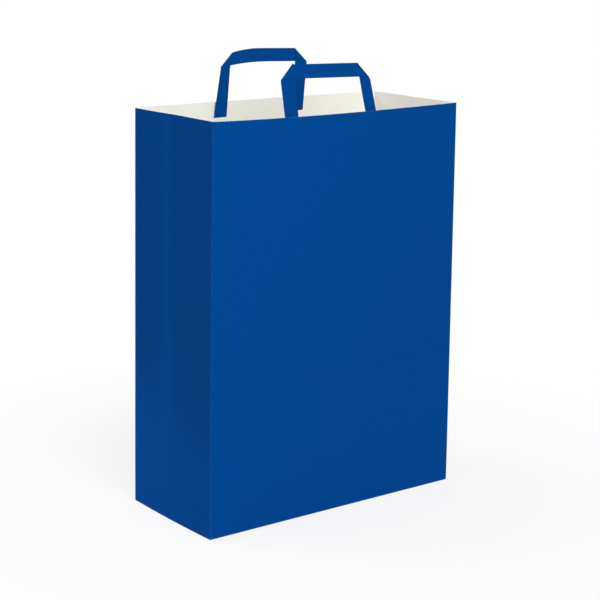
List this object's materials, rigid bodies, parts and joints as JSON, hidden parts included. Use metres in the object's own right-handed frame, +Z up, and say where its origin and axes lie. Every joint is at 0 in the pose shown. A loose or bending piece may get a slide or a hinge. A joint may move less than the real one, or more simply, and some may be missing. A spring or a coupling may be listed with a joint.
{
  "type": "paper carrier bag",
  "caption": "Open block-bottom paper carrier bag with creased side gussets, a folded flap base, and a folded flat-strap paper handle on a glued patch inside each wide panel",
  "frame": {"origin": "centre of the base rectangle, on the plane the bag stands on", "axes": "+X along the wide panels to the right as seen from the front, +Y from the front panel to the back panel, +Z up to the mouth"},
  "size_m": [0.3225, 0.1532, 0.4746],
  "materials": {
    "blue_paper": "satin",
    "pale_paper": "matte"
  },
  "bodies": {
    "root": {"bag_body": "blue_paper", "front_handle": "blue_paper", "rear_handle": "blue_paper", "front_handle_patch": "pale_paper", "rear_handle_patch": "pale_paper"}
  },
  "joints": []
}
